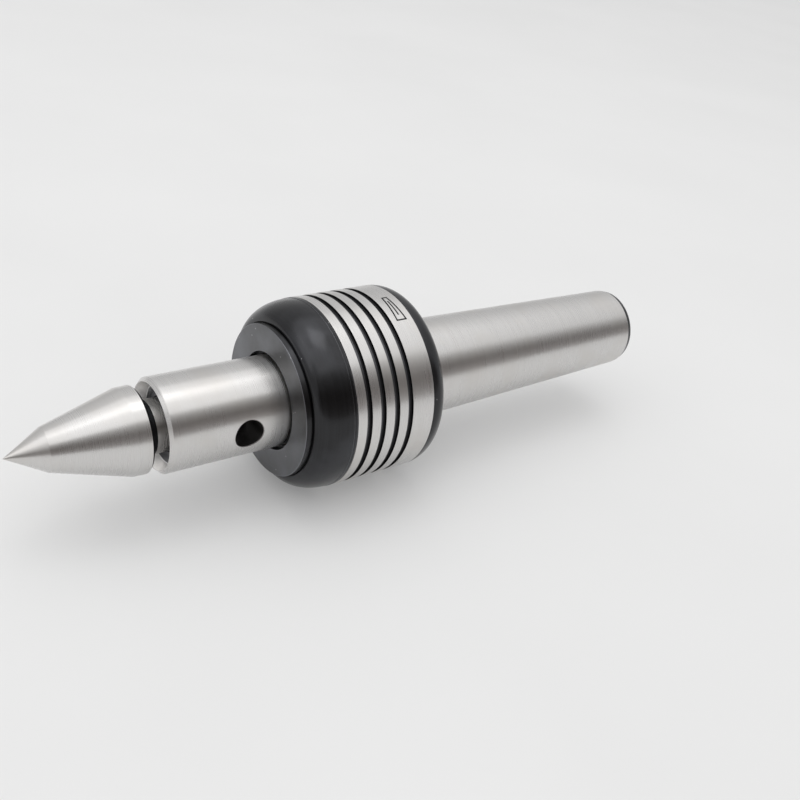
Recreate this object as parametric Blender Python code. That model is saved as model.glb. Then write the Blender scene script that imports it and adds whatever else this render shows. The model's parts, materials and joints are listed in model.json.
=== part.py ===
"""Live center with a No. 5 Morse taper shank and an interchangeable 60 degree point.

The frame: X is the axis of rotation, the point looks along -X and the taper shank along +X,
Z is up, and the origin is on the axis in the gauge plane of the taper. A station is a place
along X. Outlines are lists of (station, radius) in millimetres, turned about X; the meshes
themselves are in metres.

The pieces form four groups: the housing with its cap and the fixed rings, the spindle with
the rings that turn with it, three cages with their balls, and the point in its socket.
"""

import math

import bmesh
import bpy
from mathutils import Matrix

MM = 0.001

# Facets round the axis: the large turned pieces, the rings inside, and the drilled holes.
LARGE_SIDES = 48
RING_SIDES = 32
HOLE_SIDES = 16
SHARP_ANGLE = math.radians(25)

# Clearance between pieces that touch on the real object.
GAP = 0.3

# No. 5 Morse taper shank.
TAPER_GAUGE_RADIUS = 22.2
TAPER_PER_RADIUS = 38.004
SHANK_END = 129.5
SHANK_CHAMFER_START = 126.95
SHANK_END_RADIUS = 18.15
CENTRE_HOLE_RADIUS = 5.0
CENTRE_HOLE_DEPTH = 7.0

# Housing barrel.
BARREL_RADIUS = 40.34
BARREL_FRONT = -50.85
BARREL_EDGE = 0.25
BARREL_REAR = -13.65
REAR_FACE = -5.54
REAR_FACE_RADIUS = 35.0
REAR_ROUND_STEPS = 4
GROOVE_FIRST = -46.6
GROOVE_PITCH = 6.67
GROOVE_WIDTH = 2.5
GROOVE_DEPTH = 1.4
GROOVE_COUNT = 4
NECK_RADIUS = 35.6
NECK_FRONT = -59.2
O_RING_STATION = -54.0
O_RING_RADIUS = 0.8
O_RING_CENTRE_RADIUS = NECK_RADIUS - O_RING_RADIUS
O_RING_STEPS = 8

# Bores of the housing, each ending at a shoulder.
FRONT_BORE_RADIUS = 31.0 + GAP
FRONT_SHOULDER = -45.7
THRUST_BORE_RADIUS = 26.0 + GAP
THRUST_SHOULDER = -26.6
REAR_BORE_RADIUS = 23.5 + GAP
REAR_SHOULDER = -11.3
POCKET_RADIUS = 17.0
POCKET_END = 1.0

# Front cap, screwed over the neck of the housing.
CAP_REAR = -51.15
CAP_EDGE_STATION = -52.7
CAP_SHOULDER_START = -67.0
CAP_SHOULDER_RADIUS = 32.6
CAP_SHOULDER_STEPS = 7
BOSS_FRONT = -69.65
BOSS_RADIUS = 32.3
BOSS_EDGE = 0.3
CAP_BORE_RADIUS = 20.75
CAP_INNER_FACE = -60.3
SEAL_POCKET_RADIUS = 27.0
SEAL_POCKET_FRONT = -66.8

# Spindle, from the nose to the tail.
NOSE_FRONT = -119.9
NOSE_RADIUS = 19.17
NOSE_CHAMFER = 1.35
NOSE_REAR = -60.3
FRONT_SEAT_RADIUS = 17.5
FRONT_SEAT_REAR = -44.5
THRUST_SEAT_RADIUS = 15.0
THRUST_SEAT_REAR = -30.0
REAR_LAND_RADIUS = 13.0
REAR_LAND_REAR = -25.9
REAR_SEAT_RADIUS = 10.0
THREAD_RADIUS = 9.7
THREAD_FRONT = -11.0
SPINDLE_END = -2.6
SPINDLE_END_CHAMFER = 0.8

# Socket of the spindle and the drift hole that crosses it.
RECESS_MOUTH_RADIUS = 17.6
RECESS_FLOOR_RADIUS = 16.1
RECESS_FLOOR = -115.0
SOCKET_END = -84.0
SOCKET_CONE_DEPTH = 6.0
DRIFT_HOLE_STATION = -87.2
DRIFT_HOLE_RADIUS = 6.0

# Interchangeable point.
APEX = -175.0
TIP_REAR = -160.4
TIP_REAR_RADIUS = 8.57
HEAD_CONE_REAR = -131.0
HEAD_CONE_RADIUS = 17.2
HEAD_REAR = -125.0
HEAD_RADIUS = 17.4
HEAD_EDGE = 1.0
POINT_SHANK_RADIUS = 10.8
POINT_SHANK_END = -91.0
POINT_SHANK_CHAMFER = 1.0

# Front bearing, 35 x 62 x 14. Rear bearing, 20 x 47 x 14.
BALL_GAP = 0.35
RACE_GROOVE_STEPS = 4
FRONT_BEARING = {
    "front": -60.0, "width": 14.0, "bore": 17.5, "outside": 31.0,
    "inner_land": 21.6, "outer_land": 26.9, "pitch": 24.25, "ball": 3.97, "balls": 11,
}
REAR_BEARING = {
    "front": -25.6, "width": 14.0, "bore": 10.0, "outside": 23.5,
    "inner_land": 13.8, "outer_land": 19.7, "pitch": 16.75, "ball": 3.97, "balls": 8,
}
CAGE_WIDTH = 11.0
CAGE_THICKNESS = 2.0

# Thrust bearing, 30 x 52 x 15.
THRUST_FRONT = -44.2
THRUST_HEIGHT = 15.0
THRUST_WASHER = 4.8
THRUST_PITCH = 20.5
THRUST_BALL = 3.5
THRUST_BALLS = 12
THRUST_OUTSIDE = 26.0
THRUST_CAGE_THICKNESS = 2.4
THRUST_CAGE_INNER = 16.2
THRUST_CAGE_OUTER = 24.8

# Small pieces.
SEAL_FRONT = -66.4
SEAL_REAR = -60.7
SEAL_LIP_HEIGHT = 2.4
SEAL_LIP_SLOPE = 0.4
SEAL_LIP_WIDTH = 1.0
SEAL_BACK_SLOPE = 0.6
SEAL_HOLLOW_HEIGHT = 3.4
SPRING_THICKNESS = 1.2
SPRING_RISE = 0.8
SPRING_INNER = 17.5
SPRING_OUTER = 25.6
LOCK_WASHER_THICKNESS = 1.0
LOCK_WASHER_RADIUS = 14.5
LOCK_NUT_FRONT = -10.0
LOCK_NUT_REAR = -3.6
LOCK_NUT_RADIUS = 15.5
LOCK_NUT_EDGE = 0.8
LOCK_NUT_SLOTS = 4
LOCK_NUT_SLOT_WIDTH = 4.0
LOCK_NUT_SLOT_DEPTH = 2.2

# Colour, roughness and metallic value of each finish.
GROUND_STEEL = ((0.63, 0.62, 0.60), 0.28, 1.0)
BLACK_OXIDE = ((0.035, 0.036, 0.040), 0.38, 0.6)
BEARING_STEEL = ((0.72, 0.72, 0.73), 0.15, 1.0)
CAGE_BRASS = ((0.66, 0.50, 0.24), 0.35, 1.0)
SPRING_STEEL = ((0.30, 0.31, 0.34), 0.35, 1.0)
SEAL_RUBBER = ((0.02, 0.02, 0.02), 0.70, 0.0)


def clear_scene():
    for obj in list(bpy.data.objects):
        bpy.data.objects.remove(obj)


def material(name, finish):
    colour, roughness, metallic = finish
    made = bpy.data.materials.new(name)
    made.use_nodes = True
    shader = made.node_tree.nodes["Principled BSDF"]
    shader.inputs["Base Color"].default_value = (*colour, 1.0)
    shader.inputs["Roughness"].default_value = roughness
    shader.inputs["Metallic"].default_value = metallic
    return made


def axis_empty(name, station, parent=None):
    """An empty on the axis of rotation, for the pieces that turn or slide together."""
    empty = bpy.data.objects.new(name, None)
    empty.location.x = station * MM
    if parent:
        empty.parent = parent
        empty.location.x -= parent.matrix_world.translation.x
    bpy.context.collection.objects.link(empty)
    bpy.context.view_layer.update()
    return empty


def mesh_of(name, bm, finish):
    bmesh.ops.recalc_face_normals(bm, faces=bm.faces)
    mesh = bpy.data.meshes.new(name)
    bm.to_mesh(mesh)
    bm.free()
    mesh.shade_smooth()
    mesh.set_sharp_from_angle(angle=SHARP_ANGLE)
    mesh.materials.append(material(name, finish))
    return mesh


def place(name, mesh, parent=None, location=(0.0, 0.0, 0.0)):
    """Links an object whose mesh is in world coordinates, moved by location in millimetres."""
    obj = bpy.data.objects.new(name, mesh)
    obj.location = [value * MM for value in location]
    if parent:
        obj.parent = parent
        obj.matrix_parent_inverse = parent.matrix_world.inverted()
    bpy.context.collection.objects.link(obj)
    return obj


def spin_outline(bm, outline, sides):
    """Turns a closed outline about X. An outline that starts and ends on the axis stays open there."""
    points = [bm.verts.new((x * MM, 0.0, radius * MM)) for x, radius in outline]
    pairs = list(zip(points, points[1:] + points[:1]))
    if outline[0][1] == 0 and outline[-1][1] == 0:
        pairs.pop()
    edges = [bm.edges.new(pair) for pair in pairs]
    bmesh.ops.spin(
        bm, geom=points + edges, cent=(0, 0, 0), axis=(1, 0, 0), angle=math.tau,
        steps=sides, use_merge=True,
    )
    bmesh.ops.remove_doubles(bm, verts=bm.verts, dist=0.001 * MM)


def turned(name, outline, finish, parent=None, sides=RING_SIDES):
    bm = bmesh.new()
    spin_outline(bm, outline, sides)
    return place(name, mesh_of(name, bm, finish), parent)


def cut(obj, name, bm):
    """Subtracts one helper mesh, which may hold several closed bodies, from the object."""
    bmesh.ops.recalc_face_normals(bm, faces=bm.faces)
    mesh = bpy.data.meshes.new(name)
    bm.to_mesh(mesh)
    bm.free()
    cutter = place(name, mesh)
    cutter.hide_render = True
    cutter.display_type = "WIRE"
    boolean = obj.modifiers.new(name, "BOOLEAN")
    boolean.operation = "DIFFERENCE"
    boolean.solver = "EXACT"
    boolean.object = cutter


def arc(centre, radius, start, end, steps):
    """Points of a circular arc in the (station, radius) plane, with angles in degrees from +X."""
    angles = [math.radians(start + (end - start) * i / steps) for i in range(steps + 1)]
    return [
        (centre[0] + radius * math.cos(angle), centre[1] + radius * math.sin(angle))
        for angle in angles
    ]


def quarter(start, end, steps, start_radial):
    """A quarter of an ellipse from start to end, leaving start radially or along the axis."""
    points = []
    for i in range(steps + 1):
        angle = 0.5 * math.pi * i / steps
        along, across = 1 - math.cos(angle), math.sin(angle)
        if not start_radial:
            along, across = across, along
        points.append((
            start[0] + (end[0] - start[0]) * along,
            start[1] + (end[1] - start[1]) * across,
        ))
    return points


def taper_radius(station):
    return TAPER_GAUGE_RADIUS - station / TAPER_PER_RADIUS


def groove_outline(front):
    """One of the rectangular grooves turned in the barrel, from its front wall to its rear wall."""
    floor = BARREL_RADIUS - GROOVE_DEPTH
    rear = front + GROOVE_WIDTH
    return [(front, BARREL_RADIUS), (front, floor), (rear, floor), (rear, BARREL_RADIUS)]


def housing_shank():
    """The barrel and the taper shank, one forging, bored from the front in four steps."""
    o_ring_half = O_RING_RADIUS + GAP
    o_ring_floor = O_RING_CENTRE_RADIUS - O_RING_RADIUS - GAP
    outline = [
        (POCKET_END, 0),
        (POCKET_END, POCKET_RADIUS),
        (REAR_SHOULDER, POCKET_RADIUS),
        (REAR_SHOULDER, REAR_BORE_RADIUS),
        (THRUST_SHOULDER, REAR_BORE_RADIUS),
        (THRUST_SHOULDER, THRUST_BORE_RADIUS),
        (FRONT_SHOULDER, THRUST_BORE_RADIUS),
        (FRONT_SHOULDER, FRONT_BORE_RADIUS),
        (NECK_FRONT, FRONT_BORE_RADIUS),
        (NECK_FRONT, NECK_RADIUS),
        (O_RING_STATION - o_ring_half, NECK_RADIUS),
        (O_RING_STATION - o_ring_half, o_ring_floor),
        (O_RING_STATION + o_ring_half, o_ring_floor),
        (O_RING_STATION + o_ring_half, NECK_RADIUS),
        (BARREL_FRONT, NECK_RADIUS),
        (BARREL_FRONT, BARREL_RADIUS - BARREL_EDGE),
        (BARREL_FRONT + BARREL_EDGE, BARREL_RADIUS),
    ]
    for i in range(GROOVE_COUNT):
        outline += groove_outline(GROOVE_FIRST + i * GROOVE_PITCH)
    outline += quarter(
        (BARREL_REAR, BARREL_RADIUS), (REAR_FACE, REAR_FACE_RADIUS), REAR_ROUND_STEPS, False
    )
    outline += [
        (REAR_FACE, taper_radius(REAR_FACE)),
        (SHANK_CHAMFER_START, taper_radius(SHANK_CHAMFER_START)),
        (SHANK_END, SHANK_END_RADIUS),
        (SHANK_END, CENTRE_HOLE_RADIUS),
        (SHANK_END - CENTRE_HOLE_DEPTH, 0),
    ]
    turned("housing_shank", outline, GROUND_STEEL, sides=LARGE_SIDES)


def front_cap():
    """The black cap that screws over the neck and holds the front bearing's outer race."""
    outline = [
        (CAP_REAR, NECK_RADIUS + GAP),
        (CAP_INNER_FACE, NECK_RADIUS + GAP),
        (CAP_INNER_FACE, SEAL_POCKET_RADIUS),
        (SEAL_POCKET_FRONT, SEAL_POCKET_RADIUS),
        (SEAL_POCKET_FRONT, CAP_BORE_RADIUS),
        (BOSS_FRONT, CAP_BORE_RADIUS),
        (BOSS_FRONT, BOSS_RADIUS - BOSS_EDGE),
        (BOSS_FRONT + BOSS_EDGE, BOSS_RADIUS),
        (CAP_SHOULDER_START, BOSS_RADIUS),
    ]
    outline += quarter(
        (CAP_SHOULDER_START, CAP_SHOULDER_RADIUS),
        (CAP_EDGE_STATION, BARREL_RADIUS),
        CAP_SHOULDER_STEPS,
        True,
    )
    outline += [
        (CAP_REAR - BARREL_EDGE, BARREL_RADIUS),
        (CAP_REAR, BARREL_RADIUS - BARREL_EDGE),
    ]
    turned("front_cap", outline, BLACK_OXIDE, sides=LARGE_SIDES)


def spindle(parent):
    """The spindle, with the recess and socket for the point and a drift hole across the socket."""
    socket_radius = POINT_SHANK_RADIUS + GAP
    outline = [
        (SOCKET_END + SOCKET_CONE_DEPTH, 0),
        (SOCKET_END, socket_radius),
        (RECESS_FLOOR, socket_radius),
        (RECESS_FLOOR, RECESS_FLOOR_RADIUS),
        (NOSE_FRONT, RECESS_MOUTH_RADIUS),
        (NOSE_FRONT, NOSE_RADIUS - NOSE_CHAMFER),
        (NOSE_FRONT + NOSE_CHAMFER, NOSE_RADIUS),
        (NOSE_REAR, NOSE_RADIUS),
        (NOSE_REAR, FRONT_SEAT_RADIUS),
        (FRONT_SEAT_REAR, FRONT_SEAT_RADIUS),
        (FRONT_SEAT_REAR, THRUST_SEAT_RADIUS),
        (THRUST_SEAT_REAR, THRUST_SEAT_RADIUS),
        (THRUST_SEAT_REAR, REAR_LAND_RADIUS),
        (REAR_LAND_REAR, REAR_LAND_RADIUS),
        (REAR_LAND_REAR, REAR_SEAT_RADIUS),
        (THREAD_FRONT, REAR_SEAT_RADIUS),
        (THREAD_FRONT, THREAD_RADIUS),
        (SPINDLE_END - SPINDLE_END_CHAMFER, THREAD_RADIUS),
        (SPINDLE_END, THREAD_RADIUS - SPINDLE_END_CHAMFER),
        (SPINDLE_END, 0),
    ]
    body = turned("spindle", outline, GROUND_STEEL, parent, LARGE_SIDES)
    drill = bmesh.new()
    bmesh.ops.create_cone(
        drill, cap_ends=True, segments=HOLE_SIDES, radius1=DRIFT_HOLE_RADIUS * MM,
        radius2=DRIFT_HOLE_RADIUS * MM, depth=3 * NOSE_RADIUS * MM,
        matrix=Matrix.Translation((DRIFT_HOLE_STATION * MM, 0, 0))
        @ Matrix.Rotation(0.5 * math.pi, 4, "X"),
    )
    cut(body, "drift_hole_cutter", drill)


def interchangeable_point(parent):
    """The hardened point: a 60 degree tip on a slim cone, with a plain round shank."""
    outline = [
        (APEX, 0),
        (TIP_REAR, TIP_REAR_RADIUS),
        (HEAD_CONE_REAR, HEAD_CONE_RADIUS),
        (HEAD_REAR - HEAD_EDGE, HEAD_RADIUS),
        (HEAD_REAR, HEAD_RADIUS - HEAD_EDGE),
        (HEAD_REAR, POINT_SHANK_RADIUS),
        (POINT_SHANK_END - POINT_SHANK_CHAMFER, POINT_SHANK_RADIUS),
        (POINT_SHANK_END, POINT_SHANK_RADIUS - POINT_SHANK_CHAMFER),
        (POINT_SHANK_END, 0),
    ]
    turned("interchangeable_point", outline, GROUND_STEEL, parent, LARGE_SIDES)


def race_groove(bearing, land, outward):
    """The ball groove of a race, from its front end to its rear end."""
    middle = bearing["front"] + 0.5 * bearing["width"]
    radius = bearing["ball"] + BALL_GAP
    half_angle = math.degrees(math.acos(abs(bearing["pitch"] - land) / radius))
    towards = 90 if outward else 270
    turn = half_angle if outward else -half_angle
    centre = (middle, bearing["pitch"])
    return arc(centre, radius, towards + turn, towards - turn, RACE_GROOVE_STEPS)


def radial_bearing(label, bearing, spindle_axis, cage_axis):
    """A deep groove ball bearing: outer race, inner race, cage and balls."""
    front = bearing["front"]
    rear = front + bearing["width"]
    outer = [(front, bearing["outer_land"])]
    outer += race_groove(bearing, bearing["outer_land"], True)
    outer += [(rear, bearing["outer_land"]), (rear, bearing["outside"]), (front, bearing["outside"])]
    turned(f"{label}_bearing_outer_race", outer, BEARING_STEEL)
    bore = bearing["bore"] + GAP
    inner = [(front, bearing["inner_land"])]
    inner += race_groove(bearing, bearing["inner_land"], False)
    inner += [(rear, bearing["inner_land"]), (rear, bore), (front, bore)]
    turned(f"{label}_bearing_inner_race", inner, BEARING_STEEL, spindle_axis)

    middle = 0.5 * (front + rear)
    pitch = bearing["pitch"]
    half_width = 0.5 * CAGE_WIDTH
    half_thickness = 0.5 * CAGE_THICKNESS
    cage_outline = [
        (middle - half_width, pitch - half_thickness),
        (middle + half_width, pitch - half_thickness),
        (middle + half_width, pitch + half_thickness),
        (middle - half_width, pitch + half_thickness),
    ]
    cage = turned(f"{label}_bearing_cage", cage_outline, CAGE_BRASS, cage_axis)
    pocket_radius = bearing["ball"] + BALL_GAP
    pockets = bmesh.new()
    for i in range(bearing["balls"]):
        turn = Matrix.Rotation(math.tau * i / bearing["balls"], 4, "X")
        bmesh.ops.create_cone(
            pockets, cap_ends=True, segments=HOLE_SIDES, radius1=pocket_radius * MM,
            radius2=pocket_radius * MM, depth=3 * CAGE_THICKNESS * MM,
            matrix=turn @ Matrix.Translation((middle * MM, 0, pitch * MM)),
        )
    cut(cage, f"{label}_cage_pocket_cutter", pockets)
    balls(f"{label}_bearing_ball", middle, pitch, bearing["ball"], bearing["balls"], cage_axis)


def balls(name, station, pitch, radius, count, parent):
    """A ring of balls round the axis, each its own object on one shared mesh."""
    bm = bmesh.new()
    bmesh.ops.create_icosphere(bm, subdivisions=2, radius=radius * MM)
    mesh = mesh_of(name, bm, BEARING_STEEL)
    for i in range(count):
        angle = math.tau * i / count
        centre = (station, -pitch * math.sin(angle), pitch * math.cos(angle))
        place(f"{name}_{i + 1:02d}", mesh, parent, centre)


def washer_groove(middle, face, forward):
    """The ball groove in a thrust washer's face, from the smaller radius to the larger."""
    radius = THRUST_BALL + BALL_GAP
    half_angle = math.degrees(math.acos(abs(middle - face) / radius))
    towards = 180 if forward else 0
    turn = half_angle if forward else -half_angle
    return arc((middle, THRUST_PITCH), radius, towards + turn, towards - turn, RACE_GROOVE_STEPS)


def thrust_bearing(spindle_axis, cage_axis):
    """A thrust ball bearing: the washer on the spindle in front, the housing's washer behind."""
    rear = THRUST_FRONT + THRUST_HEIGHT
    middle = 0.5 * (THRUST_FRONT + rear)
    shaft_face = THRUST_FRONT + THRUST_WASHER
    housing_face = rear - THRUST_WASHER
    shaft_bore = THRUST_SEAT_RADIUS + GAP
    shaft = [(THRUST_FRONT, shaft_bore), (shaft_face, shaft_bore)]
    shaft += washer_groove(middle, shaft_face, True)
    shaft += [(shaft_face, THRUST_OUTSIDE - 2 * GAP), (THRUST_FRONT, THRUST_OUTSIDE - 2 * GAP)]
    turned("thrust_shaft_washer", shaft, BEARING_STEEL, spindle_axis)
    housing_bore = THRUST_SEAT_RADIUS + 3 * GAP
    housing = [(rear, housing_bore), (housing_face, housing_bore)]
    housing += washer_groove(middle, housing_face, False)
    housing += [(housing_face, THRUST_OUTSIDE), (rear, THRUST_OUTSIDE)]
    turned("thrust_housing_washer", housing, BEARING_STEEL)

    half = 0.5 * THRUST_CAGE_THICKNESS
    cage_outline = [
        (middle - half, THRUST_CAGE_INNER),
        (middle + half, THRUST_CAGE_INNER),
        (middle + half, THRUST_CAGE_OUTER),
        (middle - half, THRUST_CAGE_OUTER),
    ]
    cage = turned("thrust_bearing_cage", cage_outline, CAGE_BRASS, cage_axis)
    pocket_radius = THRUST_BALL + BALL_GAP
    pockets = bmesh.new()
    for i in range(THRUST_BALLS):
        turn = Matrix.Rotation(math.tau * i / THRUST_BALLS, 4, "X")
        bmesh.ops.create_cone(
            pockets, cap_ends=True, segments=HOLE_SIDES, radius1=pocket_radius * MM,
            radius2=pocket_radius * MM, depth=3 * THRUST_CAGE_THICKNESS * MM,
            matrix=turn @ Matrix.Translation((middle * MM, 0, THRUST_PITCH * MM))
            @ Matrix.Rotation(0.5 * math.pi, 4, "Y"),
        )
    cut(cage, "thrust_cage_pocket_cutter", pockets)
    balls("thrust_bearing_ball", middle, THRUST_PITCH, THRUST_BALL, THRUST_BALLS, cage_axis)


def shaft_seal():
    """The lip seal in the cap's pocket: a ring with a lip that leans towards the nose."""
    outer = SEAL_POCKET_RADIUS - GAP
    lip = NOSE_RADIUS + GAP
    lip_front = SEAL_FRONT + SEAL_LIP_SLOPE
    lip_rear = lip_front + SEAL_LIP_WIDTH
    hollow = lip + SEAL_HOLLOW_HEIGHT
    outline = [
        (SEAL_FRONT, outer),
        (SEAL_FRONT, lip + SEAL_LIP_HEIGHT),
        (lip_front, lip),
        (lip_rear, lip),
        (lip_rear + SEAL_BACK_SLOPE, hollow),
        (SEAL_REAR, hollow),
        (SEAL_REAR, outer),
    ]
    turned("shaft_seal", outline, SEAL_RUBBER)


def cap_o_ring():
    """The O-ring between the neck of the housing and the cap."""
    centre = (O_RING_STATION, O_RING_CENTRE_RADIUS)
    outline = arc(centre, O_RING_RADIUS, 0, 360, O_RING_STEPS)[:-1]
    turned("cap_o_ring", outline, SEAL_RUBBER, sides=LARGE_SIDES)


def disc_spring():
    """The conical preload spring behind the thrust bearing: inner edge forward, outer edge back."""
    front = THRUST_FRONT + THRUST_HEIGHT + GAP
    outline = [
        (front, SPRING_INNER),
        (front + SPRING_RISE, SPRING_OUTER),
        (front + SPRING_RISE + SPRING_THICKNESS, SPRING_OUTER),
        (front + SPRING_THICKNESS, SPRING_INNER),
    ]
    turned("disc_spring", outline, SPRING_STEEL)


def lock_washer(parent):
    rear = LOCK_NUT_FRONT - GAP
    front = rear - LOCK_WASHER_THICKNESS
    bore = REAR_SEAT_RADIUS + GAP
    outline = [(front, bore), (rear, bore), (rear, LOCK_WASHER_RADIUS), (front, LOCK_WASHER_RADIUS)]
    turned("lock_washer", outline, SPRING_STEEL, parent)


def lock_nut(parent):
    """The slotted round nut that clamps the rear bearing's inner race on the spindle."""
    bore = THREAD_RADIUS + GAP
    outline = [
        (LOCK_NUT_FRONT, bore),
        (LOCK_NUT_REAR, bore),
        (LOCK_NUT_REAR, LOCK_NUT_RADIUS - LOCK_NUT_EDGE),
        (LOCK_NUT_REAR - LOCK_NUT_EDGE, LOCK_NUT_RADIUS),
        (LOCK_NUT_FRONT, LOCK_NUT_RADIUS),
    ]
    nut = turned("lock_nut", outline, BLACK_OXIDE, parent)
    slots = bmesh.new()
    middle = 0.5 * (LOCK_NUT_FRONT + LOCK_NUT_REAR)
    length = 2 * (LOCK_NUT_REAR - LOCK_NUT_FRONT)
    for i in range(LOCK_NUT_SLOTS):
        turn = Matrix.Rotation(math.tau * (i + 0.5) / LOCK_NUT_SLOTS, 4, "X")
        size = (length * MM, LOCK_NUT_SLOT_WIDTH * MM, 2 * LOCK_NUT_SLOT_DEPTH * MM, 1)
        bmesh.ops.create_cube(
            slots, size=1.0,
            matrix=turn @ Matrix.Translation((middle * MM, 0, LOCK_NUT_RADIUS * MM))
            @ Matrix.Diagonal(size),
        )
    cut(nut, "lock_nut_slot_cutter", slots)


def main():
    clear_scene()
    spindle_axis = axis_empty("spindle_axis", NOSE_REAR)
    point_axis = axis_empty("point_axis", HEAD_REAR, spindle_axis)
    front_cage_axis = axis_empty("front_cage_axis", FRONT_BEARING["front"])
    thrust_cage_axis = axis_empty("thrust_cage_axis", THRUST_FRONT)
    rear_cage_axis = axis_empty("rear_cage_axis", REAR_BEARING["front"])

    housing_shank()
    front_cap()
    cap_o_ring()
    shaft_seal()
    disc_spring()
    spindle(spindle_axis)
    interchangeable_point(point_axis)
    radial_bearing("front", FRONT_BEARING, spindle_axis, front_cage_axis)
    thrust_bearing(spindle_axis, thrust_cage_axis)
    radial_bearing("rear", REAR_BEARING, spindle_axis, rear_cage_axis)
    lock_washer(spindle_axis)
    lock_nut(spindle_axis)


main()
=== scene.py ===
"""Looks of the live center: fine turned surfaces, procedural finishes, floor, light and camera.

The X axis is the axis of rotation. Every piece is turned about it, so a piece is drawn as an
outline of (station, radius) corners in millimetres, where a station is a place along X. Ends and
outside radii come from the CAD nodes; what lies between is named below. The front is the tip's end.
"""

import collections
import json
import math

import bmesh
import bpy
from mathutils import Matrix, Vector


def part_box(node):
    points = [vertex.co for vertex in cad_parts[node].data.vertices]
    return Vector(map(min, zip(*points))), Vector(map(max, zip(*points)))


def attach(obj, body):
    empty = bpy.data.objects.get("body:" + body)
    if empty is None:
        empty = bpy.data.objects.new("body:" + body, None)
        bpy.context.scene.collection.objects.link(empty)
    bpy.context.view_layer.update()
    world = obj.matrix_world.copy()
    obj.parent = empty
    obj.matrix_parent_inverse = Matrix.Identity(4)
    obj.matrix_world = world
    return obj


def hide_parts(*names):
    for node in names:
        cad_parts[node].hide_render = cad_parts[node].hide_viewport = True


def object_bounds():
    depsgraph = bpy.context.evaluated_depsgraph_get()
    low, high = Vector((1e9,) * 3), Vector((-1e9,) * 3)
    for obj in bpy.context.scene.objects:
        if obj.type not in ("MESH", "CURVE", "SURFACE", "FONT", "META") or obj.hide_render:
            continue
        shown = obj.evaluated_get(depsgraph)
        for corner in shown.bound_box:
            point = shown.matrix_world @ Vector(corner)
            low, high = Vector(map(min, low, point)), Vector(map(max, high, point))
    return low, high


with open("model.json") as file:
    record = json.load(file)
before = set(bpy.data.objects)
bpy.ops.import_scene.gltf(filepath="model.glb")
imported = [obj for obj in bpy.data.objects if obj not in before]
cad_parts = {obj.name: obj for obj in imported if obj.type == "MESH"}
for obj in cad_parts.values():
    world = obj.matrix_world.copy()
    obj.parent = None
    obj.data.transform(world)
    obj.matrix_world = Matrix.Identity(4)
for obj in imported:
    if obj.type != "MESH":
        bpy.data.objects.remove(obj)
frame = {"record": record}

cad_low, cad_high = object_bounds()

MM = 0.001
GAP = 0.3
SEGMENTS = 192
RING_SEGMENTS = 128
ARC_STEP = math.radians(15)
SMOOTH = "smooth"

# Housing.
TAPER_GAUGE_RADIUS = 22.2
TAPER_PER_RADIUS = 38.004
SHANK_CHAMFER = 2.55
SHANK_END_RADIUS = 18.15
CENTRE_MOUTH_RADIUS = 5.0
CENTRE_PILOT_RADIUS = 1.6
CENTRE_CONE_DEPTH = 5.9
CENTRE_PILOT_DEPTH = 9.5
CENTRE_PILOT_CONE = 1.0
CENTRE_RIM = 0.5
BARREL_REAR = -13.65
REAR_FACE = -5.54
REAR_FACE_RADIUS = 35.0
REAR_ARC_STEPS = 20
BLACK_EDGE_LENGTH = 0.1
BLACK_EDGE_DEPTH = 0.03
ROOT_HEIGHT = 0.9
ROOT_LENGTH = 0.5
GROOVE_OFFSET = 4.25
GROOVE_PITCH = 6.67
GROOVE_WIDTH = 2.5
GROOVE_DEPTH = 1.4
GROOVE_ROUND = 0.75
GROOVE_COUNT = 4
LAND_EDGE = 0.14
NECK_RADIUS = 35.6
NECK_CHAMFER = 0.8
O_RING_SEAT_HALF = 1.1
O_RING_SEAT_RADIUS = 33.7
POCKET_RADIUS = 17.0
POCKET_END = 1.0
POCKET_CONE_DEPTH = 4.0
BORE_EDGE = 0.4

# Front cap.
CAP_BORE_RADIUS = 20.75
CAP_INNER_FACE = -60.3
SEAL_POCKET_RADIUS = 27.0
SEAL_POCKET_FRONT = -66.8
BOSS_RADIUS = 32.3
BOSS_SIDE_SLOPE = 0.25
BOSS_HEIGHT = 2.65
BOSS_GROOVE_DEPTH = 0.55
SHOULDER_GROOVE = 0.35
SHOULDER_REAR_OFFSET = 1.75
SHOULDER_STEP = 0.16
SHOULDER_ARC_STEPS = 32
CAP_EDGE = 0.2

# Spindle.
NOSE_RADIUS = 19.17
NOSE_CHAMFER = 1.35
NOSE_REAR = -60.3
FRONT_SEAT_RADIUS = 17.5
FRONT_SEAT_REAR = -44.5
THRUST_SEAT_RADIUS = 15.0
THRUST_SEAT_REAR = -30.0
REAR_LAND_RADIUS = 13.0
REAR_LAND_REAR = -25.9
REAR_SEAT_RADIUS = 10.0
THREAD_RADIUS = 9.7
THREAD_FRONT = -11.0
THREAD_PITCH = 1.5
THREAD_DEPTH = 0.75
THREAD_CREST_FRONT = 0.2
THREAD_ROOT_PLACE = 0.75
THREAD_CREST_REAR = 1.3
THREAD_RUNOUT = 0.4
TAIL_PLAIN = 1.0
TAIL_CHAMFER = 0.9
RECESS_MOUTH_RADIUS = 17.6
RECESS_FLOOR_RADIUS = 16.1
RECESS_FLOOR = -115.0
SOCKET_RADIUS = 11.1
SOCKET_END = -84.0
SOCKET_CONE_DEPTH = 6.0
HOLE_STATION = -87.2
HOLE_RADIUS = 6.0
HOLE_RIM = 0.4
HOLE_RIM_STEPS = 6
HOLE_RIM_TURN = 0.9
HOLE_SEGMENTS = 96

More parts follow.
